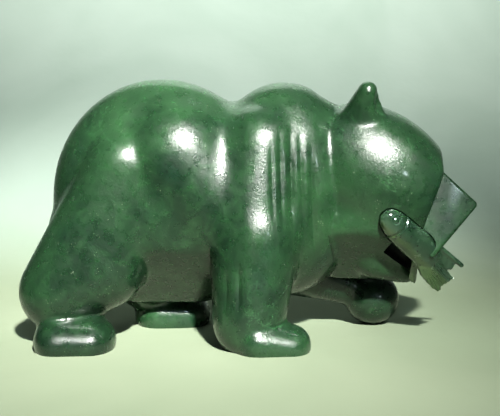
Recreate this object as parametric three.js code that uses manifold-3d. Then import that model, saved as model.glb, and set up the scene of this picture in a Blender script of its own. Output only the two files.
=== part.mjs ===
// A jade figurine of a walking bear that holds a fish in its mouth.
// Millimetres, +Z up, +X towards the nose, +Y to the bear's left.
// The bear is one stone: rounded masses that melt into each other are meshed as one skin,
// and the crisp planes of the muzzle, mouth and soles are then cut and joined as solids.
// The fish is a second stone that sits in the mouth.

import * as THREE from "three";
import { mergeVertices } from "three/addons/utils/BufferGeometryUtils.js";
import { ConvexGeometry } from "three/addons/geometries/ConvexGeometry.js";
import Module from "manifold-3d";

const wasm = await Module();
wasm.setup();

// Driving sizes
const HALF_WIDTH = 26; // trunk, either side of the middle
const BACK_TOP = 83; // top of the back over the haunches
const HUMP_TOP = 81.7; // top of the shoulder hump
const CELL = 3.7; // mesh size of the rounded skin
const GAP = 0.3; // clear air between the two stones
const FINEST = 0.03; // shortest edge that a join or cut may leave
const HEAD_TURN = THREE.MathUtils.degToRad(6); // the head looks a little to the bear's right
const NECK = { x: 28, y: 0 }; // the upright line about which the head turns

// Rounded masses
// An egg is an ellipsoid, a little squarer where its power is above 2, and it may be pitched nose down.
function egg(at, size, power = 2, pitchDegrees = 0) {
  const pitch = THREE.MathUtils.degToRad(pitchDegrees);
  const c = Math.cos(pitch);
  const s = Math.sin(pitch);
  return (x, y, z) => {
    const dx = x - at[0];
    const dz = z - at[2];
    const q = [dx * c - dz * s, y - at[1], dx * s + dz * c].map((d, i) => Math.abs(d) / size[i]);
    const sum = q[0] ** power + q[1] ** power + q[2] ** power;
    const g = Math.max(sum, 1e-9) ** (1 / power);
    const slope = Math.hypot(...q.map((d, i) => (d / g) ** (power - 1) / size[i]));
    return (g - 1) / slope;
  };
}

// A limb is a tapered round bar from one point to another. Flat is its depth across Y over its width.
function limb(from, to, r0, r1, flat = 1) {
  const a = new THREE.Vector3(from[0], from[1] / flat, from[2]);
  const along = new THREE.Vector3(to[0], to[1] / flat, to[2]).sub(a);
  const length2 = along.lengthSq();
  const p = new THREE.Vector3();
  return (x, y, z) => {
    p.set(x, y / flat, z).sub(a);
    const t = THREE.MathUtils.clamp(p.dot(along) / length2, 0, 1);
    return (p.addScaledVector(along, -t).length() - r0 - t * (r1 - r0)) * Math.min(flat, 1);
  };
}

// Melt joins shapes with a fillet of about the given size.
function melt(size, ...shapes) {
  return (x, y, z) => {
    let d = shapes[0](x, y, z);
    for (const shape of shapes.slice(1)) {
      const e = shape(x, y, z);
      const h = Math.max(size - Math.abs(d - e), 0) / size;
      d = Math.min(d, e) - (h * h * size) / 4;
    }
    return d;
  };
}

// Trim keeps the part of a shape behind a plane, with an edge rounded by about the given size.
function trim(shape, size, normal, at) {
  const n = new THREE.Vector3(...normal).normalize();
  const offset = n.dot(new THREE.Vector3(...at));
  return (x, y, z) => {
    const d = shape(x, y, z);
    const e = n.x * x + n.y * y + n.z * z - offset;
    const h = Math.max(size - Math.abs(d - e), 0) / size;
    return Math.max(d, e) + (h * h * size) / 4;
  };
}

// Underside trims both flanks by planes that slope in and down, from the ridge to the keel.
function underside(shape, ridgeZ, keelZ, keelY, ridgeY = HALF_WIDTH) {
  const near = [0, keelZ - ridgeZ, keelY - ridgeY];
  const far = [0, ridgeZ - keelZ, keelY - ridgeY];
  const trimmed = trim(shape, 2, near, [0, -ridgeY, ridgeZ]);
  return trim(trimmed, 2, far, [0, ridgeY, ridgeZ]);
}

// Turned shapes are given in the head's own frame and swung about the neck.
function turned(shape) {
  const c = Math.cos(HEAD_TURN);
  const s = Math.sin(HEAD_TURN);
  return (x, y, z) => {
    const dx = x - NECK.x;
    const dy = y - NECK.y;
    return shape(NECK.x + dx * c - dy * s, NECK.y + dx * s + dy * c, z);
  };
}

// Trunk and haunches
// The belly is planed off on both sides below the ridge, and each flank has a soft slanting bulge.
const dome = egg([-26.2, 0, 44.5], [35.3, 25, BACK_TOP - 45]);
const rump = egg([-44, 0, 31], [20, 17, 20]);
const loin = egg([-9, 0, 44], [25, 24, 31.5]);
const belly = egg([-6, 0, 39.5], [28, 25, 20.5]);
const flanks = [-1, 1].map((side) => limb([-25, side * 4.5, 57], [-6, side * 6, 44], 20.5, 20));
const trunk = underside(melt(5, dome, rump, loin, belly, ...flanks), 35, 17.5, 9);
const farThigh = limb([-42, 10, 38], [-32, 13, 17], 17, 13, 0.95);

// The near hind leg is broad from hip to heel and knee, and stands on a low foot.
const HIP = [-31.5, -9, 61];
const HEEL = [-57.8, -14.5, 16.5];
const KNEE = [-43.5, -13.5, 23.7];
const nearThigh = melt(
  4,
  limb(HIP, HEEL, 14.5, 12.7),
  limb(HIP, KNEE, 14.5, 12.6),
  limb(HEEL, KNEE, 12.7, 12.6)
);
const nearHindFoot = limb([-57, -20.5, 2.5], [-46.5, -20.5, 2.5], 7.5, 7, 1.55);
const farHindFoot = limb([-29, 14, 3], [-20, 14, 3], 8.5, 8, 1.25);
const rear = melt(3.4, melt(3, trunk, farThigh), nearThigh, nearHindFoot, farHindFoot);

// Shoulders and forelegs
const hump = egg([12.5, 0, 47], [25, 22, HUMP_TOP - 47]);
const nearUpperArm = limb([7.5, -9.5, 60], [3.5, -14.5, 37], 14, 14, 0.97);
const nearForeleg = limb([3.6, -17, 34], [1.4, -21, 8], 13.6, 10.8, 0.95);
const nearForePaw = limb([4, -22.5, 3], [14.4, -23, 1.6], 7.5, 6, 1.5);
const farUpperArm = limb([7.5, 9.5, 60], [8, 14.5, 36], 14, 13.2, 0.97);
const farForearm = limb([11, 12, 22], [34, 12, 13.5], 11, 6.5);
const farForePaw = egg([43.3, 12.6, 8.7], [9.4, 9.4, 9.1]);
const farForeleg = melt(4, farForearm, farForePaw);
const front = melt(4, melt(6, hump, nearUpperArm, farUpperArm, nearForeleg), nearForePaw);

// Neck, head and throat
const neck = egg([25, 0, 50], [16, 15.5, 26]);
const cranium = egg([42.2, 0, 50.5], [27.5, 20, 21.5], 2.3, 37);
const throat = egg([36, 0, 36.5], [21, 18, 20]);
const jaw = limb([42, 0, 26], [52.5, 0, 20.6], 8, 3.6, 1.1);
const head = turned(melt(3, underside(melt(6, cranium, throat), 35.5, 17.5, 4, 18), jaw));

const bearSkin = melt(3.5, melt(3.5, rear, front), melt(4, neck, head));

// Surface nets: one vertex in each cell that the skin passes through, then a quad across each
// grid edge that it cuts. Each vertex is slid down the slope until it lies on the skin.
function meshSkin(skin, low, high, cell) {
  const n = low.map((lo, i) => Math.ceil((high[i] - lo) / cell) + 1);
  const at = (i, j, k) => (k * n[1] + j) * n[0] + i;
  const values = new Float32Array(n[0] * n[1] * n[2]);
  for (let k = 0; k < n[2]; k++)
    for (let j = 0; j < n[1]; j++)
      for (let i = 0; i < n[0]; i++)
        values[at(i, j, k)] = skin(low[0] + i * cell, low[1] + j * cell, low[2] + k * cell);
  const positions = [];
  const vertexOf = new Int32Array(values.length).fill(-1);
  const corners = [0, 1, 2, 3, 4, 5, 6, 7].map((c) => [c & 1, (c >> 1) & 1, c >> 2]);
  for (let k = 0; k < n[2] - 1; k++)
    for (let j = 0; j < n[1] - 1; j++)
      for (let i = 0; i < n[0] - 1; i++) {
        const sum = new THREE.Vector3();
        let crossings = 0;
        for (const a of corners)
          for (const axis of [0, 1, 2]) {
            if (a[axis]) continue;
            const b = a.slice();
            b[axis] = 1;
            const va = values[at(i + a[0], j + a[1], k + a[2])];
            const vb = values[at(i + b[0], j + b[1], k + b[2])];
            if (va < 0 === vb < 0) continue;
            const t = va / (va - vb);
            sum.add(new THREE.Vector3(...a.map((u, m) => u + t * (b[m] - u))));
            crossings++;
          }
        if (!crossings) continue;
        vertexOf[at(i, j, k)] = positions.length / 3;
        const p = sum.divideScalar(crossings).add(new THREE.Vector3(i, j, k)).multiplyScalar(cell);
        positions.push(...settle(skin, p.add(new THREE.Vector3(...low)), cell).toArray());
      }
  const indices = [];
  const quad = (a, b, c, d) => {
    const p = [a, b, c, d].map((v) => new THREE.Vector3().fromArray(positions, 3 * v));
    if (p[0].distanceTo(p[2]) < p[1].distanceTo(p[3])) indices.push(a, b, c, a, c, d);
    else indices.push(b, c, d, b, d, a);
  };
  for (let k = 1; k < n[2] - 1; k++)
    for (let j = 1; j < n[1] - 1; j++)
      for (let i = 1; i < n[0] - 1; i++) {
        const here = values[at(i, j, k)] < 0;
        const cellsAround = (u, v) => [
          vertexOf[at(i - u[0] - v[0], j - u[1] - v[1], k - u[2] - v[2])],
          vertexOf[at(i - v[0], j - v[1], k - v[2])],
          vertexOf[at(i, j, k)],
          vertexOf[at(i - u[0], j - u[1], k - u[2])],
        ];
        const axes = [[1, 0, 0], [0, 1, 0], [0, 0, 1]];
        axes.forEach((w, m) => {
          const there = values[at(i + w[0], j + w[1], k + w[2])] < 0;
          if (here === there) return;
          const ring = cellsAround(axes[(m + 1) % 3], axes[(m + 2) % 3]);
          quad(...(here ? ring : ring.reverse()));
        });
      }
  const geometry = new THREE.BufferGeometry();
  geometry.setAttribute("position", new THREE.Float32BufferAttribute(positions, 3));
  geometry.setIndex(indices);
  return geometry;
}

// Slides a point onto the skin, by no more than a third of a cell in all.
function settle(skin, point, cell) {
  const start = point.clone();
  const e = 0.05;
  for (let step = 0; step < 4; step++) {
    const { x, y, z } = point;
    const slope = new THREE.Vector3(
      skin(x + e, y, z) - skin(x - e, y, z),
      skin(x, y + e, z) - skin(x, y - e, z),
      skin(x, y, z + e) - skin(x, y, z - e)
    ).divideScalar(2 * e);
    point.addScaledVector(slope, -skin(x, y, z) / Math.max(slope.lengthSq(), 0.1));
  }
  const move = point.clone().sub(start);
  return start.add(move.clampLength(0, cell / 3));
}

// Solids to join and cut
function solidOf(geometry) {
  const g = geometry.clone();
  g.deleteAttribute("normal");
  g.deleteAttribute("uv");
  const merged = mergeVertices(g, 1e-4);
  return new wasm.Manifold(
    new wasm.Mesh({
      numProp: 3,
      tolerance: FINEST,
      vertProperties: new Float32Array(merged.attributes.position.array),
      triVerts: new Uint32Array(merged.index.array),
    })
  );
}

function geometryOf(solid) {
  const mesh = solid.simplify(FINEST).getMesh();
  const geometry = new THREE.BufferGeometry();
  geometry.setAttribute("position", new THREE.BufferAttribute(mesh.vertProperties, 3));
  geometry.setIndex(new THREE.BufferAttribute(mesh.triVerts, 1));
  geometry.computeVertexNormals();
  return geometry;
}

// The crisp planes of the face
// A block is the hull of a side outline of [x, z, half width] points. A bevel blunts its long edges.
function block(outline, bevel = 0) {
  const middle = new THREE.Vector2();
  outline.forEach(([x, z]) => middle.add(new THREE.Vector2(x, z).divideScalar(outline.length)));
  const points = [];
  for (const [x, z, half] of outline) {
    const inward = middle.clone().sub(new THREE.Vector2(x, z)).setLength(bevel);
    for (const side of [-1, 1]) {
      points.push(new THREE.Vector3(x, side * (half - bevel), z));
      if (bevel) points.push(new THREE.Vector3(x + inward.x, side * half, z + inward.y));
    }
  }
  return new ConvexGeometry(points);
}

// A cutter is a block that is wider than the head.
const HEAD_CLEAR = 40;
function cutter(outline) {
  return block(outline.map(([x, z]) => [x, z, HEAD_CLEAR]));
}

// Swings a geometry with the head.
function swing(geometry) {
  return geometry
    .translate(-NECK.x, -NECK.y, 0)
    .rotateZ(-HEAD_TURN)
    .translate(NECK.x, NECK.y, 0);
}

const BROW = [62.6, 62];
const SNOUT_ROOT = [63, 53.6];
const NOSE = [74, 43.6];
const NOSE_UNDER = [73.6, 42.4];
const LIP = [60, 26.8];
const PALATE = [46, 38];
const browCut = cutter([BROW, [BROW[0], 90], [95, 90], [95, 30], SNOUT_ROOT]);
const faceCut = cutter([SNOUT_ROOT, [57.5, 39], [50, 30], [95, 30], [95, 60]]);
// The cheeks of the muzzle lean out towards the lips.
const muzzle = block(
  [
    [54, 58, 8],
    [...SNOUT_ROOT, 8],
    [...NOSE, 7],
    [...NOSE_UNDER, 7.4],
    [...LIP, 12],
    [...PALATE, 14],
  ],
  1.4
);

// The mouth is a slot between the jaws. It runs forward and down from its corner, and from the
// near side it reaches a little past the middle of the head.
const MOUTH_CORNER = [43.6, 29.4];
const MOUTH_RUN = new THREE.Vector2(0.774, -0.633);
const MOUTH_RISE = new THREE.Vector2(0.633, 0.774);
const MOUTH_OPEN = 7.5;
const MOUTH_DEPTH = 5; // how far past the middle the slot is cut
const inMouth = (run, rise) => [
  MOUTH_CORNER[0] + run * MOUTH_RUN.x + rise * MOUTH_RISE.x,
  MOUTH_CORNER[1] + run * MOUTH_RUN.y + rise * MOUTH_RISE.y,
];
const mouthOutline = [
  inMouth(1.5, 0),
  inMouth(1, 4),
  inMouth(3, MOUTH_OPEN),
  inMouth(50, MOUTH_OPEN),
  inMouth(50, 0),
];
const mouth = cutter(mouthOutline).translate(0, MOUTH_DEPTH - HEAD_CLEAR, 0);

// An ear is the hull of a flattened ball in the head and a smaller one at the tip, scooped in front.
function ball(radius, scale, at) {
  return new THREE.SphereGeometry(radius, 18, 12).scale(...scale).translate(...at);
}

function pointsOf(geometry) {
  const a = geometry.attributes.position;
  return Array.from({ length: a.count }, (_, i) => new THREE.Vector3().fromBufferAttribute(a, i));
}

function ear(side) {
  const root = ball(7.4, [1.05, 0.85, 1], [37.6, side * 8.5, 68]);
  const tip = ball(3, [0.9, 1.2, 1], [39.2, side * 12.3, 78.7]);
  const scoop = ball(4.6, [0.7, 0.75, 1.2], [44.4, side * 13.2, 75]);
  return solidOf(new ConvexGeometry([root, tip].flatMap(pointsOf))).subtract(solidOf(scoop));
}

// The fish
// It is built along X from the snout with its back up, and then set into the mouth.
// Each station of the body has its run from the snout, half height and half thickness.
const FISH_SIDES = 14;
const FISH_STATIONS = [
  [-1.4, 1.2, 0.8],
  [-1, 2.3, 1.6],
  [0.4, 3.5, 2.6],
  [3.5, 4.5, 3.3],
  [8, 5, 3.6],
  [14, 5.1, 3.4],
  [19, 4.9, 2.5],
  [23, 4.3, 1.5],
  [26, 3.4, 0.8],
];
// Each plate of the tail has its half thickness and its outline of [run, up] points.
const TAIL_PLATES = [
  [0.55, [[20, 4.6], [29.6, 4.7], [31.4, 3.2], [31.5, 1.4], [28, 0.2], [20, -3]]],
  [0.9, [[20.5, -4.6], [24.5, -6.3], [30.6, -6.9], [33.4, -6.6], [34.4, 0.2], [21, 1.4]]],
  [0.8, [[20.5, 3.4], [20.5, 4.9], [33.6, 5.6], [34.2, 4.9], [33.6, 4.1]]],
];

function fishBody(grow) {
  const last = FISH_STATIONS.length - 1;
  const positions = [];
  FISH_STATIONS.forEach(([run, half, thick], i) => {
    const end = i === 0 ? -grow : i === last ? grow : 0;
    for (let k = 0; k < FISH_SIDES; k++) {
      const angle = (k / FISH_SIDES) * 2 * Math.PI;
      positions.push(run + end, -Math.sin(angle) * (thick + grow), Math.cos(angle) * (half + grow));
    }
  });
  const indices = [];
  for (let i = 0; i < last; i++)
    for (let k = 0; k < FISH_SIDES; k++) {
      const a = i * FISH_SIDES + k;
      const b = i * FISH_SIDES + ((k + 1) % FISH_SIDES);
      indices.push(a, b, b + FISH_SIDES, a, b + FISH_SIDES, a + FISH_SIDES);
    }
  for (let k = 1; k < FISH_SIDES - 1; k++) {
    indices.push(0, k + 1, k);
    const end = last * FISH_SIDES;
    indices.push(end, end + k, end + k + 1);
  }
  const geometry = new THREE.BufferGeometry();
  geometry.setAttribute("position", new THREE.Float32BufferAttribute(positions, 3));
  geometry.setIndex(indices);
  return geometry;
}

// A plate lies in the fish's upright middle plane and may be swollen all round.
function plate([halfThickness, outline], grow) {
  const points = [];
  for (const [run, up] of outline)
    for (const a of [-grow, grow])
      for (const b of [-grow, grow])
        for (const side of [-1, 1])
          points.push(new THREE.Vector3(run + a, side * (halfThickness + grow), up + b));
  return new ConvexGeometry(points);
}

// Sets a geometry of the fish into the mouth.
const FISH_SNOUT = new THREE.Vector3(43.2, -21, 40.8);
const FISH_TAIL = new THREE.Vector3(64.9, -8.5, 20.8);
function inJaws(geometry) {
  const along = FISH_TAIL.clone().sub(FISH_SNOUT).normalize();
  const up = new THREE.Vector3(MOUTH_RISE.x, 0, MOUTH_RISE.y);
  up.addScaledVector(along, -up.dot(along)).normalize();
  const left = new THREE.Vector3().crossVectors(up, along);
  return geometry.applyMatrix4(new THREE.Matrix4().makeBasis(along, left, up).setPosition(FISH_SNOUT));
}

function fishStone(grow) {
  let stone = solidOf(inJaws(fishBody(grow)));
  for (const tail of TAIL_PLATES) stone = stone.add(solidOf(inJaws(plate(tail, grow))));
  return stone;
}

// Flutes
// Shallow upright grooves follow the skin. Each is cut by a thin round bar that lies mostly outside it.
// Each flute has the x and z of its lower end and of its upper end.
const FLUTE_RADIUS = 1.5;
const FLUTE_DEPTH = 0.6;
const FLUTE_STEPS = 5;
const SHOULDER_FLUTES = [
  [9, 37, 8, 66],
  [12, 34, 10.6, 70],
  [15.2, 31, 13.8, 70],
  [18.4, 30, 16.8, 68],
  [22, 24, 20.2, 66],
];
const NEAR_LEG_FLUTES = [[-1.6, 10, -1.6, 31], [-5.4, 11, -5.4, 27]];

// The skin's outermost y on one side at a given x and z.
function flankAt(x, z, side) {
  let outside = 40;
  let inside = 0;
  for (let step = 0; step < 14; step++) {
    const y = (outside + inside) / 2;
    if (bearSkin(x, side * y, z) > 0) outside = y;
    else inside = y;
  }
  return side * outside;
}

function flute([lowX, low, highX, high], side) {
  const route = [];
  for (let i = 0; i <= FLUTE_STEPS; i++) {
    const t = i / FLUTE_STEPS;
    const x = lowX + t * (highX - lowX);
    const z = low + t * (high - low);
    const fade = Math.abs(2 * t - 1) ** 4; // the groove runs out at both ends
    const stand = FLUTE_RADIUS - FLUTE_DEPTH + fade * FLUTE_DEPTH * 1.5;
    route.push(new THREE.Vector3(x, flankAt(x, z, side) + side * stand, z));
  }
  const section = new THREE.Shape().absarc(0, 0, FLUTE_RADIUS, 0, 2 * Math.PI);
  return new THREE.ExtrudeGeometry(section, {
    curveSegments: 3,
    steps: FLUTE_STEPS,
    extrudePath: new THREE.CatmullRomCurve3(route),
    bevelEnabled: false,
  });
}

const SKIN_BOX = [[-82, -40, -12], [84, 40, 94]];
const FAR_FORELEG_BOX = [[-8, -8, -12], [62, 38, 42]];
let bearSolid = solidOf(meshSkin(bearSkin, ...SKIN_BOX, CELL));
bearSolid = bearSolid.add(solidOf(meshSkin(farForeleg, ...FAR_FORELEG_BOX, CELL)));
for (const cut of [browCut, faceCut]) bearSolid = bearSolid.subtract(solidOf(swing(cut)));
bearSolid = bearSolid.add(solidOf(swing(muzzle)));
for (const side of [-1, 1]) bearSolid = bearSolid.add(solidOf(swing(geometryOf(ear(side)))));
bearSolid = bearSolid.subtract(solidOf(swing(mouth)));
bearSolid = bearSolid.subtract(fishStone(GAP));
for (const line of SHOULDER_FLUTES)
  for (const side of [-1, 1]) bearSolid = bearSolid.subtract(solidOf(flute(line, side)));
for (const line of NEAR_LEG_FLUTES) bearSolid = bearSolid.subtract(solidOf(flute(line, -1)));
const ground = new THREE.BoxGeometry(300, 200, 60).translate(0, 0, -30);
bearSolid = bearSolid.subtract(solidOf(ground));

const group = new THREE.Group();
const jade = new THREE.MeshStandardMaterial({ color: 0x2c5a30, roughness: 0.2, metalness: 0 });
const bear = new THREE.Mesh(geometryOf(bearSolid), jade);
bear.name = "bear";
const paleJade = new THREE.MeshStandardMaterial({ color: 0x6f9678, roughness: 0.15, metalness: 0 });
const fish = new THREE.Mesh(geometryOf(fishStone(0)), paleJade);
fish.name = "fish";
group.add(bear, fish);

// The origin is the middle of the box on the ground.
const middle = new THREE.Box3().setFromObject(group).getCenter(new THREE.Vector3());
group.children.forEach((mesh) => mesh.position.set(-middle.x, -middle.y, 0));

export default group;
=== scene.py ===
# %% [markdown]
# # A jade bear with a fish
# A walking bear, 146 mm long, carved from one block of dark green nephrite jade and polished,
# with a paler jade fish set crosswise in its mouth. The lesson follows the carver: rough masses
# first, then the melted skin, the crisp planes of the face, the small cuts, and the polish.
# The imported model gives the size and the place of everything, so it is loaded before all else.

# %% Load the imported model
import math

import bmesh
import bpy
from mathutils import Matrix, Vector


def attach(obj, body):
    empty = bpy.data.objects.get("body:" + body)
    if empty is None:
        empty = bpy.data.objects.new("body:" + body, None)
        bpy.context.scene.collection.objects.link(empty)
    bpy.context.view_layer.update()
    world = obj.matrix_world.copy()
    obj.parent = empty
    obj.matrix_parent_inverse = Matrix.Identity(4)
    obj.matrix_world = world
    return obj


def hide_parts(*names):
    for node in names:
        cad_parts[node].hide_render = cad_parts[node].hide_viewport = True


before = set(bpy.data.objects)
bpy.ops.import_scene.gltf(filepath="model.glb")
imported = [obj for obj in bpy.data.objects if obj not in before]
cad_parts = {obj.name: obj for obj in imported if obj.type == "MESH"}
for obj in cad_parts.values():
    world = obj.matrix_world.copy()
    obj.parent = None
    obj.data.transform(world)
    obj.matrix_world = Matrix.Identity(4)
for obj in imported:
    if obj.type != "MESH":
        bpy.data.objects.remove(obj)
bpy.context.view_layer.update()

# %% [markdown]
# ## Helpers for the workshop
# Sizes are given in millimetres with the nose towards +X, the bear's left towards +Y and +Z up,
# the way a carver would note them. Each form is built at that scale and a last step shrinks it
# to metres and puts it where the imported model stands. An operator acts on all that is selected,
# so every helper first leaves edit mode and deselects everything.

# %% Selecting and modifiers
MIDDLE = (1.484, -3.108)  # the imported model's middle, in the carver's millimetres


def clear():
    if bpy.context.mode != "OBJECT":
        bpy.ops.object.mode_set(mode="OBJECT")
    bpy.ops.object.select_all(action="DESELECT")


def pick(*pieces):
    clear()
    for piece in pieces:
        piece.select_set(True)
    bpy.context.view_layer.objects.active = pieces[0]


def modify(piece, kind, **settings):
    pick(piece)
    bpy.ops.object.modifier_add(type=kind)
    modifier = piece.modifiers[-1]
    for key, value in settings.items():
        setattr(modifier, key, value)
    bpy.ops.object.modifier_apply(modifier=modifier.name)


def edit(piece, select="SELECT"):
    pick(piece)
    bpy.ops.object.mode_set(mode="EDIT")
    bpy.ops.mesh.select_all(action=select)


def report(piece):
    low = [round(min(v.co[i] for v in piece.data.vertices), 1) for i in range(3)]
    high = [round(max(v.co[i] for v in piece.data.vertices), 1) for i in range(3)]
    print(f"{piece.name}: {len(piece.data.polygons)} faces, {low} to {high} mm")


# %% [markdown]
# ## Rough masses
# A carver sees a bear as a few eggs and tapered bars. An egg is a ball that is scaled in edit
# mode, cast a little towards a box where the form is squarer, and pitched. A bar is the convex
# hull of two balls. Turning by operator runs the other way with no window, hence the minus sign.


# %% Eggs and bars
def egg(at, size, square=0.0, pitch=0.0):
    clear()
    bpy.ops.mesh.primitive_uv_sphere_add(segments=72, ring_count=48, radius=1)
    mass = bpy.context.object
    if square:
        modify(mass, "CAST", cast_type="CUBOID", factor=square, use_radius_as_size=False, size=1)
    edit(mass)
    bpy.ops.transform.resize(value=size, center_override=(0, 0, 0))
    if pitch:
        bpy.ops.transform.rotate(
            value=-math.radians(pitch), orient_axis="Y", center_override=(0, 0, 0)
        )
    bpy.ops.transform.translate(value=at)
    clear()
    return mass


def hull(*balls, flat=1.0):
    """The hull of some balls, each given by its middle and radius and flattened across Y."""
    clear()
    for i, (at, radius) in enumerate(balls):
        if i:
            bpy.ops.mesh.select_all(action="DESELECT")
        bpy.ops.mesh.primitive_uv_sphere_add(segments=48, ring_count=32, radius=radius)
        if not i:
            mass = bpy.context.object
            edit(mass)
        bpy.ops.transform.resize(value=(1, flat, 1), center_override=(0, 0, 0))
        bpy.ops.transform.translate(value=at)
    bpy.ops.mesh.select_all(action="SELECT")
    bpy.ops.mesh.convex_hull()
    clear()
    return mass


def bar(start, end, r0, r1, flat=1.0):
    return hull((start, r0), (end, r1), flat=flat)


# %% [markdown]
# ## Melting masses into one skin
# Where two carved masses meet, the wheel leaves a soft hollow. Joining the masses, remeshing
# them with voxels and smoothing the result gives that hollow. Smoothing eats a little off every
# round form, so a small swell along the normals gives it back. A wider hollow needs more
# rounds of smoothing: one round blurs by half a voxel.


# %% Melt, swell and plane
BLUR_OF_HOLLOW = 0.44  # millimetres of blur for each millimetre of hollow
ROUND_FORM = 27.0  # the blur eats its own square, divided by this, off a round form


def smooth(piece, blur, voxel):
    rounds = max(1, round((2 * blur / voxel) ** 2))
    modify(piece, "SMOOTH", factor=0.5, iterations=rounds)
    modify(piece, "DISPLACE", direction="NORMAL", mid_level=0, strength=blur * blur / ROUND_FORM)


def melt(name, masses, hollow, voxel=1.1):
    pick(*masses)
    bpy.ops.object.join()
    piece = bpy.context.object
    piece.name = name
    modify(piece, "REMESH", mode="VOXEL", voxel_size=voxel)
    smooth(piece, BLUR_OF_HOLLOW * hollow, voxel)
    report(piece)
    return piece


def plane_off(piece, at, normal):
    edit(piece)
    bpy.ops.mesh.bisect(plane_co=at, plane_no=normal, use_fill=True, clear_outer=True)
    clear()


def bevel_under(piece, ridge, keel):
    """Planes both flanks off below the ridge, down to the keel. Each is a pair (y, z)."""
    (ridge_y, ridge_z), (keel_y, keel_z) = ridge, keel
    for side in (-1, 1):
        normal = (0, side * (ridge_z - keel_z), keel_y - ridge_y)
        plane_off(piece, (0, side * ridge_y, ridge_z), normal)


# %% [markdown]
# ## Haunches, belly and hind legs
# The rump is one great dome, a little higher than the shoulders. The belly is planed off below,
# which is why it mirrors the ground as one grey facet. The near thigh flows into the heel, and
# the foot is a low pad in front of it with a crisp valley between. The far leg reaches forward.

# %% Rear masses
BELLY_PLANE = (26, 35), (9, 17.6)
dome = egg((-26.2, 0, 44.5), (35.3, 23, 37.8))
rump = egg((-44, 0, 31), (20, 17, 20))
loin = egg((-9, 0, 44), (25, 22.3, 31.5))
belly = egg((-6, 0, 39.5), (28, 24.3, 20.5))
flanks = [bar((-21, side * 4.7, 57), (-11, side * 5.2, 45), 20.4, 19.8) for side in (-1, 1)]
trunk = melt("trunk", [dome, rump, loin, belly, *flanks], hollow=5)
bevel_under(trunk, *BELLY_PLANE)
far_thigh = bar((-42, 10, 38), (-32, 13, 17), 17, 13, 0.95)
trunk = melt("trunk", [trunk, far_thigh], hollow=3)

HIP, HEEL, KNEE = (-37, -11.5, 55), (-57.6, -14.4, 16.5), (-43.5, -13.5, 23.7)
near_leg = hull((HIP, 12.5), (HEEL, 12.6), (KNEE, 12.6))

near_foot = bar((-57, -20.5, 2.5), (-46.5, -20.5, 2.5), 7.6, 7.1, 1.52)
far_foot = bar((-29, 14, 3), (-20, 14, 3), 8.7, 8.2, 1.25)

# %% [markdown]
# ## Shoulders and forelegs
# The hump stands over the shoulders. The near foreleg is a straight column with its paw flat on
# the ground, and the far one reaches forward and down to a ball of a paw that just touches.

# %% Front masses
HUMP_TOP = 81.4
hump = egg((12.5, 0, 47), (25, 22, HUMP_TOP - 47))
near_upper_arm = bar((5, -9.8, 60), (2.6, -14.3, 38), 14, 14.6, 0.97)
near_foreleg = bar((3.6, -17, 34), (1.4, -21, 8), 13.8, 11, 0.95)
far_upper_arm = bar((7.5, 9.5, 60), (8, 14, 36), 14, 13.2, 0.97)
shoulders = melt("shoulders", [hump, near_upper_arm, far_upper_arm, near_foreleg], hollow=6)
near_paw = bar((4, -22.5, 3), (14.4, -23, 1.6), 7.6, 6.1, 1.4)
far_forearm = bar((11, 12, 22), (34, 12, 13.5), 11, 6.6)
far_paw = egg((43.3, 12.6, 8.7), (9.3, 9.3, 9.0))
far_arm = melt("far_arm", [far_forearm, far_paw], hollow=4, voxel=0.8)

# %% [markdown]
# ## Head, throat and jaw
# The skull is a blunt egg pitched nose down. Below the cheeks the throat is planed off towards
# the chin, a second grey facet. A roll of stone makes the far lip, which closes the view through
# the mouth behind the fish. The whole head looks a few degrees to the bear's right, towards the
# viewer, so it is built straight and then swung about an upright line in the neck.

# %% Head masses
HEAD_TURN = 6.0
NECK = (28.0, 0.0, 0.0)


def swing(piece):
    edit(piece)
    bpy.ops.transform.rotate(
        value=math.radians(HEAD_TURN), orient_axis="Z", center_override=NECK
    )
    clear()


THROAT_PLANE = (18, 35.5), (4, 17.5)
cranium = egg((42.2, 0, 50.5), (27.5, 20, 21.5), square=0.1, pitch=37)
throat = egg((36, 0, 36.5), (21, 18, 20))
skull = melt("skull", [cranium, throat], hollow=6)
bevel_under(skull, *THROAT_PLANE)
jaw = bar((42, 0, 26), (52.5, 0, 20.6), 8, 3.8, 1.1)
far_lip = bar((46, 5.6, 29), (54, 5.2, 23.6), 4, 3.4)
head = melt("head", [skull, jaw, far_lip], hollow=2.6, voxel=0.8)

# %% [markdown]
# ## Crisp planes of the face
# The brow drops to the snout in one flat cut, and the snout is a wedge with flat cheeks. These
# come from flat outlines: a ring of points is moved into place, filled, and extruded across.
# The brow cut is taken away from the head, and the wedge of the snout is added to it.


# %% Slabs from a side outline
THROUGH = 40  # half the width of a cut that goes right through the bear


def slab(outline, half_width):
    """A slab across Y from a side outline of (x, z) points."""
    clear()
    bpy.ops.mesh.primitive_circle_add(vertices=len(outline), radius=1, fill_type="NOTHING")
    piece = bpy.context.object
    for vertex, (x, z) in zip(piece.data.vertices, outline):
        vertex.co = (x, -half_width, z)
    edit(piece)
    bpy.ops.mesh.edge_face_add()
    bpy.ops.mesh.extrude_region_move(TRANSFORM_OT_translate={"value": (0, 2 * half_width, 0)})
    bpy.ops.mesh.select_all(action="SELECT")
    bpy.ops.mesh.normals_make_consistent(inside=False)
    clear()
    return piece


def carve(piece, tool, operation="DIFFERENCE"):
    modify(piece, "BOOLEAN", operation=operation, solver="EXACT", object=tool)
    pick(tool)
    bpy.ops.object.delete()


BROW, SNOUT_ROOT = (62.6, 62), (63, 53.6)
NOSE, NOSE_UNDER, LIP, PALATE = (74, 43.6), (73.6, 42.4), (60, 26.8), (46, 38)
carve(head, slab([BROW, (62.6, 90), (95, 90), (95, 30), SNOUT_ROOT], THROUGH))
carve(head, slab([SNOUT_ROOT, (57.5, 39), (55, 26.5), (95, 26.5), (95, 60)], THROUGH))
report(head)

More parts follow.
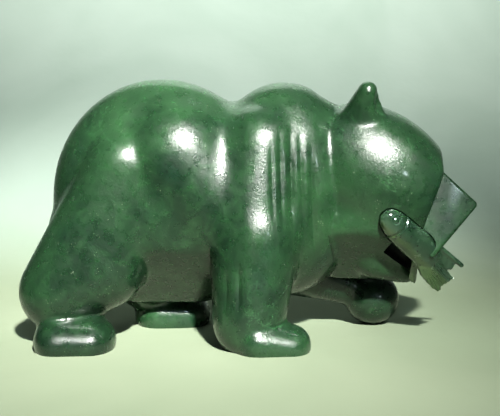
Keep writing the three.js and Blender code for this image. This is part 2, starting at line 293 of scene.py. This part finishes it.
# %% [markdown]
# The cheeks of the snout lean out towards the lips, so they catch the light. Each corner of the
# outline gets its own half width, and the hull of all the corners makes every cheek flat again.

# %% Snout
CHEEKS = {(54, 58): 7, SNOUT_ROOT: 7, NOSE: 6, NOSE_UNDER: 6.4, LIP: 12.6, PALATE: 14}
snout = slab(list(CHEEKS), 10)
for vertex in snout.data.vertices:
    corner = min(CHEEKS, key=lambda c: math.dist(c, (vertex.co.x, vertex.co.z)))
    vertex.co.y = math.copysign(CHEEKS[corner], vertex.co.y)
edit(snout)
bpy.ops.mesh.convex_hull()
clear()
modify(snout, "BEVEL", width=0.8, segments=4, limit_method="ANGLE", angle_limit=0.5)
report(snout)


# %% [markdown]
# ## Ears
# An ear is the hull of a flattened ball in the head and a small one at its tip. A third ball
# scoops out the front.


# %% Two ears
def ball(at, radius, scale):
    clear()
    bpy.ops.mesh.primitive_uv_sphere_add(segments=40, ring_count=28, radius=radius)
    mass = bpy.context.object
    edit(mass)
    bpy.ops.transform.resize(value=scale, center_override=(0, 0, 0))
    bpy.ops.transform.translate(value=at)
    clear()
    return mass


ears = []
for side in (-1, 1):
    root = ball((37.6, side * 8.5, 68), 7.4, (1.05, 0.85, 1))
    tip = ball((39.2, side * 12.3, 78.4), 3.2, (0.95, 1.2, 1))
    pick(root, tip)
    bpy.ops.object.join()
    ear = bpy.context.object
    edit(ear)
    bpy.ops.mesh.convex_hull()
    clear()
    carve(ear, ball((44.4, side * 13.2, 75), 4.6, (0.7, 0.75, 1.2)))
    ears.append(ear)

# %% [markdown]
# ## One stone
# The trunk, the leg, the shoulders and the neck flow into each other with wide hollows. The feet,
# the swung head and the ears join them with tighter ones, in fine voxels. The valleys behind the
# arm and before the neck are the widest, so the points there are smoothed some more. The snout
# keeps its crisp edges, so it is joined after that.

# %% Join the bear
VALLEY_ROUNDS = 60
for piece in (head, snout, *ears):
    swing(piece)
neck = egg((25, 0, 50), (16, 15.5, 26))
torso = melt("torso", [trunk, near_leg, shoulders, neck], hollow=3.8, voxel=0.9)
edit(torso, "DESELECT")
bm = bmesh.from_edit_mesh(torso.data)
for vertex in bm.verts:
    x, y, z = vertex.co
    behind_arm = -11 < x < 0 and 30 < z < 76
    before_neck = 22 < x < 33 and z > 40
    vertex.select_set(behind_arm or before_neck)
bm.select_flush(True)
bmesh.update_edit_mesh(torso.data)
bpy.ops.mesh.vertices_smooth(factor=0.5, repeat=VALLEY_ROUNDS)
clear()
limbs = [near_foot, far_foot, near_paw, far_arm]
bear = melt("bear", [torso, *limbs, head, *ears], hollow=2.0, voxel=0.86)

# %% [markdown]
# ## The two near facets
# Melting softened the planes of belly and throat, but on the stone they are ground flat and end
# in crisp edges, so the near ones are cut once more. The tool is a slab whose inner side is laid
# into the plane.


# %% Flat belly and throat
def near_facet(outline, ridge, keel):
    (ridge_y, ridge_z), (keel_y, keel_z) = ridge, keel
    tool = slab(outline, THROUGH)
    for vertex in tool.data.vertices:
        if vertex.co.y > 0:
            share = (vertex.co.z - keel_z) / (ridge_z - keel_z)
            vertex.co.y = -(keel_y + share * (ridge_y - keel_y))
    return tool


carve(bear, near_facet([(-28, 14), (-10.6, 14), (-10.2, 37), (-28, 37)], *BELLY_PLANE))
throat_tool = near_facet([(26.5, 40), (29, 27), (31, 14), (58, 14), (58, 40)], *THROAT_PLANE)
swing(throat_tool)
carve(bear, throat_tool)
report(bear)

# %% [markdown]
# ## Flutes
# Long upright pleats on the shoulder stand for fur, and the last and deepest of them parts the
# shoulder from the neck. The skin there gets four times as many faces, and then each point is
# pressed in along its normal by how near it lies to a pleat. The profile is pointed, so the stone
# between two pleats stays a rounded fold. Two more grooves run down the near foreleg.

# %% Press in the flutes
# Each flute: x and z of its lower end, x and z of its upper end, depth and width.
FLUTES = [
    (9.0, 37, 8.0, 66, 0.45, 0.8), (12.0, 34, 10.6, 70, 0.8, 1.0), (15.2, 31, 13.8, 70, 1.0, 1.1),
    (18.4, 30, 16.8, 68, 0.9, 1.1), (22.0, 24, 20.2, 66, 1.4, 1.6),
    (-1.6, 10, -1.6, 31, 0.6, 0.9), (-5.4, 11, -5.4, 27, 0.5, 0.9),
]
FLANK = 9  # only skin farther than this from the middle is pressed
edit(bear, "DESELECT")
bm = bmesh.from_edit_mesh(bear.data)
for face in bm.faces:
    x, y, z = face.calc_center_median()
    beside = abs(y) > FLANK and abs(face.normal.y) > 0.3
    face.select_set(-8 < x < 25.5 and 8 < z < 72 and beside)
bmesh.update_edit_mesh(bear.data)
bpy.ops.mesh.subdivide(number_cuts=1, smoothness=1)
bm = bmesh.from_edit_mesh(bear.data)
for vertex in bm.verts:
    x, y, z = vertex.co
    depth = 0
    for low_x, low, high_x, high, deep, width in FLUTES:
        along = (z - low) / (high - low)
        if not 0 < along < 1 or (y > 0 and low_x < 5):
            continue
        off = abs(x - low_x - along * (high_x - low_x)) / width
        depth += deep * min(1, 3 * along, 3 * (1 - along)) ** 1.5 * math.exp(-(off**1.4))
    if depth and abs(y) > FLANK:
        vertex.co -= vertex.normal * depth
bmesh.update_edit_mesh(bear.data)
clear()
report(bear)

# %% [markdown]
# ## Snout, mouth and soles
# The wedge of the snout is joined on. The mouth is a slot with straight sides that runs down and
# forward from its corner. It stops a little past the middle, so the far cheek closes it. Last,
# all that hangs below the ground is planed off, which leaves the flat soles.

# %% Cut the mouth and the soles
carve(bear, snout, "UNION")
MOUTH_CORNER, MOUTH_RUN, MOUTH_RISE = (43.6, 29.4), (0.774, -0.633), (0.633, 0.774)
MOUTH_OPEN, MOUTH_DEPTH = 7.5, 5


def in_mouth(run, rise):
    return tuple(MOUTH_CORNER[i] + run * MOUTH_RUN[i] + rise * MOUTH_RISE[i] for i in (0, 1))


mouth_outline = [(1.5, 0), (1, 4), (3, MOUTH_OPEN), (50, MOUTH_OPEN), (50, 0)]
mouth = slab([in_mouth(*point) for point in mouth_outline], THROUGH)
for vertex in mouth.data.vertices:
    vertex.co.y = min(vertex.co.y, MOUTH_DEPTH)
swing(mouth)
carve(bear, mouth)
plane_off(bear, (0, 0, 0), (0, 0, -1))
report(bear)

# %% [markdown]
# ## The fish
# The body is drawn out from its blunt snout ring by ring, like a rubber tube: each ring is
# extruded and scaled. It is built lying along X with its back up and its near flank towards -Y,
# and is set into the mouth later. A subdivision surface rounds off the rings.

# %% Fish body
# Run from the snout, half height and half thickness of each ring.
FISH_RINGS = [
    (-1.4, 1.2, 0.8), (-1.0, 2.2, 1.6), (0.4, 3.4, 2.6), (3.5, 4.4, 3.3), (8.0, 4.9, 3.6),
    (14.0, 5.0, 3.4), (19.0, 4.8, 2.5), (23.0, 4.3, 1.5), (26.0, 3.4, 0.8),
]
clear()
bpy.ops.mesh.primitive_circle_add(vertices=24, radius=1, fill_type="NGON")
fish = bpy.context.object
edit(fish)
bpy.ops.transform.rotate(value=math.pi / 2, orient_axis="Y", center_override=(0, 0, 0))
run, half, thick = FISH_RINGS[0]
bpy.ops.transform.resize(value=(1, thick, half), center_override=(0, 0, 0))
bpy.ops.transform.translate(value=(run, 0, 0))
for next_run, next_half, next_thick in FISH_RINGS[1:]:
    bpy.ops.mesh.extrude_region_move(TRANSFORM_OT_translate={"value": (next_run - run, 0, 0)})
    bpy.ops.transform.resize(
        value=(1, next_thick / thick, next_half / half), center_override=(next_run, 0, 0)
    )
    run, half, thick = next_run, next_half, next_thick
bpy.ops.mesh.select_all(action="SELECT")
bpy.ops.mesh.normals_make_consistent(inside=False)
clear()
modify(fish, "SUBSURF", levels=2, render_levels=2)
report(fish)

# %% [markdown]
# ## Fins and tail
# The fins are plates of stone one or two millimetres thick, so each is a slab of its outline. A
# rod stiffens the upper edge of the tail, and the belly fin is the hull of three small balls.
# Everything is melted with fine voxels, so that the thin plates survive.

# %% Plates on the body
web = slab([(20, 4.6), (29.6, 4.7), (31.4, 3.2), (31.5, 1.4), (28, 0.2), (20, -3)], 0.55)
fan = slab(
    [(20.5, -4.6), (24.5, -6.3), (30.6, -6.9), (33.2, -6.6), (33.9, -5.6), (33, -4.4),
     (33.9, -2), (34.4, 0.2), (27, 0.9), (21, 1.4)],
    0.9,
)
rod = bar((20.5, 0, 4.1), (33.4, -0.2, 4.85), 0.95, 0.8)
pelvic = hull(((20.2, 1.6, -4.2), 1.1), ((25.4, 3.8, -9.0), 0.9), ((27.2, 4.0, -9.1), 0.75))
fish = melt("fish", [fish, web, fan, rod, pelvic], hollow=0.9, voxel=0.24)

# %% [markdown]
# ## Rays, gill and eye
# The carver scratches these lines in with a fine wheel. Here each point of the skin is pressed in
# along its normal by how near it lies to a line. The rays fan out from one root, so they are
# counted by angle; the gill is a bowed line and the eye a small ring.

# %% Press in the fine lines
RAY_ROOT, RAYS = (17.5, -1.6), 9
GILL_RUN, EYE = 5.6, (1.9, 1.0)
for vertex in fish.data.vertices:
    x, y, z = vertex.co
    press = 0.0
    if x > 24.3 and z < 1.0:
        angle = math.degrees(math.atan2(z - RAY_ROOT[1], x - RAY_ROOT[0]))
        grow = min(1, (x - 24.3) / 3)
        press += 0.3 * grow * (0.5 - 0.5 * math.cos(2 * math.pi * angle / 38 * RAYS))
    if abs(z) < 4.6 and x < 9:
        bowed = GILL_RUN - 0.06 * z * z
        press += 0.35 * math.exp(-(((x - bowed) / 0.38) ** 2))
        ring = math.hypot(x - EYE[0], z - EYE[1])
        press += 0.22 * math.exp(-(((ring - 0.95) / 0.24) ** 2))
    vertex.co -= vertex.normal * press
report(fish)

# %% [markdown]
# ## Into the mouth
# The fish lies along the line from its snout, on the near cheek, down to its tail before the lips.
# A copy of it, swollen by the gap, is cut out of the bear, so the seat fits the fish all round
# and the two stones stay apart.

# %% Set the fish
FISH_SNOUT, FISH_TAIL = Vector((43.2, -21, 40.8)), Vector((64.9, -8.5, 20.8))
GAP = 0.35
along = (FISH_TAIL - FISH_SNOUT).normalized()
up = Vector((MOUTH_RISE[0], 0, MOUTH_RISE[1]))
up = (up - along * up.dot(along)).normalized()
across = along.cross(up)
seat = Matrix((along, -across, up)).transposed().to_4x4()
seat.translation = FISH_SNOUT
fish.data.transform(seat)
pick(fish)
bpy.ops.object.duplicate()
seat_tool = bpy.context.object
modify(seat_tool, "DISPLACE", direction="NORMAL", mid_level=0, strength=GAP)
carve(bear, seat_tool)
report(bear)

# %% [markdown]
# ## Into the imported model's place
# Every piece is moved and shrunk to metres in its mesh, so its object stays at the origin. The
# edges are shaded smooth up to a limit, so that the cut edges of the face stay crisp.


# %% Finish the shapes
def settle(piece, name, node):
    pick(piece)
    shift = Matrix.Translation((-MIDDLE[0], -MIDDLE[1], 0))
    piece.data.transform(Matrix.Scale(0.001, 4) @ shift)
    piece.data.update()
    bpy.ops.object.shade_smooth_by_angle(angle=math.radians(32))
    piece.name = name
    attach(piece, "root")
    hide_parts(node)


settle(bear, "bear_carving", "bear")
settle(fish, "fish_carving", "fish")

# %% [markdown]
# ## Writing shader maths as Python
# One small class wraps a socket. An expression such as `1 - mask` adds its Math node, and
# `add` puts in any other node, first its settings and then the values or links of its sockets.


# %% Sockets with operators
class Wire:
    def __init__(self, tree, socket):
        self.tree, self.socket = tree, socket

    def add(self, kind, settings=None, out=0, **inputs):
        """A new node. Its inputs are given by name, or by number as i0, i1 and so on."""
        node = self.tree.nodes.new(kind)
        for key, value in (settings or {}).items():
            setattr(node, key, value)
        for key, value in inputs.items():
            number = key[1:]
            socket = node.inputs[int(number) if number.isdigit() else key.replace("_", " ")]
            if isinstance(value, Wire):
                self.tree.links.new(value.socket, socket)
            else:
                socket.default_value = value
        return Wire(self.tree, node.outputs[out])

    def maths(self, operation, *values):
        inputs = {f"i{i}": value for i, value in enumerate(values)}
        return self.add("ShaderNodeMath", {"operation": operation}, **inputs)

    def __add__(self, other):
        return self.maths("ADD", self, other)

    __radd__ = __add__

    def __sub__(self, other):
        return self.maths("SUBTRACT", self, other)

    def __rsub__(self, other):
        return self.maths("SUBTRACT", other, self)

    def __mul__(self, other):
        return self.maths("MULTIPLY", self, other)

    __rmul__ = __mul__

    def __abs__(self):
        return self.maths("ABSOLUTE", self)

    def between(self, low, high):
        """0 below low, 1 above high, and smooth between. With low above high it runs down."""
        settings = {"interpolation_type": "SMOOTHSTEP"}
        return self.add(
            "ShaderNodeMapRange", settings, Value=self, From_Min=low, From_Max=high
        )

    def colours(self, dark, light):
        return self.add(
            "ShaderNodeMix",
            {"data_type": "RGBA"},
            out=2,
            Factor=self,
            i6=dark if isinstance(dark, Wire) else (*dark, 1),
            i7=light if isinstance(light, Wire) else (*light, 1),
        )

    def noise(self, scale, detail=3, rough=0.5, warp=0.0):
        return self.add(
            "ShaderNodeTexNoise",
            Vector=self,
            Scale=scale,
            Detail=detail,
            Roughness=rough,
            Distortion=warp,
        )

    def cells(self, scale):
        return self.add("ShaderNodeTexVoronoi", Vector=self, Scale=scale, Randomness=1.0)


def new_finish(name):
    material = bpy.data.materials.new(name)
    material.use_nodes = True
    tree = material.node_tree
    shader = next(n for n in tree.nodes if n.type == "BSDF_PRINCIPLED")
    place = Wire(tree, None).add("ShaderNodeTexCoord", out=3)
    return material, tree, shader, place


def plug(tree, shader, **wires):
    for key, wire in wires.items():
        tree.links.new(wire.socket, shader.inputs[key.replace("_", " ")])


# %% [markdown]
# ## Green nephrite
# Nephrite is a felt of fine fibres. It is deep green with cloudy paler patches, sprinkled with
# black grains about a millimetre across that gather in drifts, and a few pale scratches of veins.
# Pin-prick sparkles are painted glints: pale dots in the base colour that stand for tiny
# highlights. The body under the polish is a little rough and grainy, which spreads each highlight
# into a soft glow, and the polish itself is a thin clear coat that mirrors the ground.

# %% Green jade
jade, tree, shader, place = new_finish("green_jade")
cloud = place.noise(24, detail=5, rough=0.6, warp=0.7)
mottle = place.noise(150, detail=5, rough=0.65, warp=0.6)
green = cloud.between(0.34, 0.68).colours((0.006, 0.018, 0.009), (0.018, 0.050, 0.021))
green = (mottle.between(0.42, 0.75) * 0.55).colours(green, (0.022, 0.064, 0.025))
drift = place.noise(34, detail=4, rough=0.6, warp=0.4).between(0.5, 0.66)
green = (drift * mottle.between(0.35, 0.65) * 0.55).colours(green, (0.004, 0.013, 0.011))
grain = place.cells(760).between(0.36, 0.18)
size_of_grain = place.noise(420, detail=2).between(0.48, 0.6)
specks = grain * size_of_grain * (0.12 + drift * 0.88)
green = (specks * 0.85).colours(green, (0.0015, 0.004, 0.003))
fibre = place.noise(32, detail=6, rough=0.55, warp=1.4)
vein_line = abs(fibre - 0.5)
vein_patch = place.noise(18, detail=1).between(0.5, 0.62)
green = (vein_line.between(0.006, 0.0) * vein_patch * 0.35).colours(green, (0.05, 0.14, 0.06))
# Painted glints: pale pin-prick dots in the base colour stand for tiny highlights on the polish.
painted_glint = place.cells(1300).between(0.14, 0.06) * place.noise(300, detail=1).between(0.56, 0.66)
green = (painted_glint * 0.9).colours(green, (0.35, 0.43, 0.29))
body_grain = place.noise(1500, detail=3, rough=0.7)
waves = place.noise(110, detail=2, rough=0.5)
plug(
    tree,
    shader,
    Base_Color=green,
    Roughness=0.25 + 0.12 * place.noise(420, detail=3).between(0.3, 0.7),
    Normal=place.add(
        "ShaderNodeBump",
        Strength=0.35,
        Distance=0.0004,
        Height=body_grain * 0.7 + waves * 0.25,
    ),
)
shader.inputs["IOR"].default_value = 1.61
shader.inputs["Specular IOR Level"].default_value = 0.3
shader.inputs["Coat Weight"].default_value = 0.5
shader.inputs["Coat Roughness"].default_value = 0.08
shader.inputs["Subsurface Weight"].default_value = 0.1
shader.inputs["Subsurface Radius"].default_value = (0.35, 1.0, 0.4)
shader.inputs["Subsurface Scale"].default_value = 0.002
bear.data.materials.clear()
bear.data.materials.append(jade)
print("green jade:", len(tree.nodes), "shader nodes")

# %% [markdown]
# ## Pale jade
# The fish is a clearer, greyer nephrite: bluish green along the back with black dots, olive along
# the belly and the fins. Its thin fins let light through, so more of it scatters below the
# surface. Its own length runs from the snout to the tail, so the colours are laid out along the
# direction in which it was set into the mouth.

# %% Pale jade
pale, tree, shader, place = new_finish("pale_jade")
rise = place.add("ShaderNodeVectorMath", {"operation": "DOT_PRODUCT"}, 1, i0=place, i1=tuple(up))
seat_height = (FISH_SNOUT - Vector((*MIDDLE, 0))).dot(up) / 1000
height = rise - seat_height
cloud = place.noise(90, detail=4, rough=0.6, warp=0.5)
back = cloud.between(0.35, 0.68).colours((0.013, 0.036, 0.019), (0.034, 0.07, 0.04))
olive = cloud.between(0.35, 0.68).colours((0.03, 0.058, 0.022), (0.065, 0.10, 0.042))
tone = (height + (cloud - 0.5) * 0.003).between(-0.0012, -0.003).colours(back, olive)
specks = place.cells(700).between(0.34, 0.16) * place.noise(260, detail=2).between(0.46, 0.58)
tone = (specks * 0.75).colours(tone, (0.004, 0.009, 0.006))
plug(
    tree,
    shader,
    Base_Color=tone,
    Roughness=0.14 + 0.14 * place.noise(300, detail=3).between(0.4, 0.7),
    Normal=place.add(
        "ShaderNodeBump", Strength=0.2, Distance=0.0002, Height=place.noise(600, detail=3)
    ),
)
shader.inputs["IOR"].default_value = 1.61
shader.inputs["Coat Weight"].default_value = 0.8
shader.inputs["Coat Roughness"].default_value = 0.05
shader.inputs["Subsurface Weight"].default_value = 0.5
shader.inputs["Subsurface Radius"].default_value = (0.7, 1.0, 0.6)
shader.inputs["Subsurface Scale"].default_value = 0.0025
fish.data.materials.clear()
fish.data.materials.append(pale)
print("pale jade:", len(tree.nodes), "shader nodes")

# %% [markdown]
# ## The stage
# A sheet of pale green paper lies under the bear and sweeps up behind it. It starts as one plane:
# its far edge is extruded up into a wall, and a wide bevel bends the fold into a round sweep. The
# one sheet carries painted light: the wall is painted paler and greyer than the ground, and the
# floor darker and yellower, for how the light falls on each. A soft ripple keeps the sheet from
# looking flat.

# %% Paper sweep
clear()
bpy.ops.mesh.primitive_plane_add(size=2.4, location=(0, 0, 0))
paper = bpy.context.object
edit(paper, "DESELECT")
bm = bmesh.from_edit_mesh(paper.data)
for edge in bm.edges:
    edge.select_set(all(v.co.y > 1 for v in edge.verts))
bmesh.update_edit_mesh(paper.data)
bpy.ops.transform.translate(value=(0, -0.85, 0))
bpy.ops.mesh.extrude_region_move(TRANSFORM_OT_translate={"value": (0, 0.2, 1.2)})
clear()
modify(paper, "BEVEL", width=0.3, segments=16, limit_method="ANGLE", angle_limit=0.2)
pick(paper)
bpy.ops.object.shade_smooth()
paper.name = "paper"
sheet, tree, shader, place = new_finish("paper")
ripple = place.noise(7, detail=3, rough=0.55, warp=0.8)
depth = place.add("ShaderNodeSeparateXYZ", out=1, Vector=place)
# Painted light: the wall gets a paler tone and the floor a darker one, though they are one sheet
# of paper.
wall_painted_light_tone = ripple.between(0.3, 0.7).colours((0.30, 0.38, 0.32), (0.36, 0.44, 0.38))
floor_painted_shade_tone = ripple.between(0.3, 0.7).colours((0.17, 0.21, 0.14), (0.205, 0.245, 0.168))
plug(
    tree,
    shader,
    Base_Color=depth.between(0.2, 0.06).colours(wall_painted_light_tone, floor_painted_shade_tone),
    Normal=place.add(
        "ShaderNodeBump", Strength=0.25, Distance=0.004, Height=place.noise(22, detail=4)
    ),
)
shader.inputs["Roughness"].default_value = 0.85
paper.data.materials.append(sheet)
print("paper:", len(tree.nodes), "shader nodes")

# %% [markdown]
# ## The light
# The key light stands to the viewer's right above the camera, where its mirror image falls on the
# flank, the shoulder and the brow as on the real stone. Around it hangs a wide dim lamp for the
# soft glow about each highlight. A weak lamp low on the right stands where the flat of the snout
# mirrors it. The paper behind is washed by a lamp of its own, and a dim world keeps the shadows
# open. The lamps in front spread their light narrowly, so the ground before the bear stays dim
# and the upright sides of the polished stone mirror it dark.


# %% Lamps and world
POOL = Vector((-0.03, 0, 0.04))  # the key aims at the haunches, so the head stays darker
SNOUT = Vector((0.065, -0.006, 0.042))


def lamp(name, azimuth, elevation, distance, size, watts, colour, spread, aim=POOL):
    """A round lamp. From its aim it stands so many degrees right of the viewer and so high."""
    a, e = math.radians(azimuth), math.radians(elevation)
    way = Vector((math.sin(a) * math.cos(e), -math.cos(a) * math.cos(e), math.sin(e)))
    clear()
    bpy.ops.object.light_add(type="AREA", location=way * distance + aim)
    light = bpy.context.object
    light.name = name
    light.rotation_euler = way.to_track_quat("Z", "Y").to_euler()
    light.data.shape = "DISK"
    light.data.size = size
    light.data.energy = watts
    light.data.color = colour
    light.data.spread = math.radians(spread)
    return light


lamp("key", 16, 40, 1.1, 0.06, 0.6, (1, 0.98, 0.94), spread=18)
lamp("glow", 14, 38, 1.15, 0.3, 0.05, (0.65, 0.86, 1), spread=16)
lamp("sheen", 29, 13.5, 1.15, 0.18, 0.003, (0.8, 0.95, 1), spread=6, aim=SNOUT)
wash = lamp("wash", 0, 90, 0.9, 0.5, 3.8, (1, 1, 0.98), spread=60)
wash.location = (0, 0.2, 0.9)
wash.rotation_euler = (math.radians(30), 0, 0)
world = bpy.data.worlds.new("studio")
bpy.context.scene.world = world
world.use_nodes = True
world.node_tree.nodes["Background"].inputs["Color"].default_value = (0.86, 0.95, 0.9, 1)
world.node_tree.nodes["Background"].inputs["Strength"].default_value = 0.05

# %% [markdown]
# ## The camera
# The photo was taken close by, from the height of the bear's back and square to its side. The
# focal length was worked out in pixels of the photo, so it is given as a share of the sensor's
# width. A look with more contrast deepens the darks of the polished stone.

# %% Camera and contrast
CAMERA_AT = (1.8 - MIDDLE[0], -306.5 - MIDDLE[1], 75.8)
TILT_DOWN = 6.49
SENSOR, PHOTO_WIDTH, FOCAL_PIXELS = 36, 500, 950
clear()
bpy.ops.object.camera_add(
    location=[c / 1000 for c in CAMERA_AT], rotation=(math.radians(90 - TILT_DOWN), 0, 0)
)
camera = bpy.context.object
camera.data.sensor_width = SENSOR
camera.data.lens = FOCAL_PIXELS / PHOTO_WIDTH * SENSOR
camera.data.clip_start = 0.01
bpy.context.scene.view_settings.view_transform = "Standard"
bpy.context.scene.view_settings.look = "Medium High Contrast"
bpy.context.scene.camera = camera
print("lens in mm", round(camera.data.lens, 1))
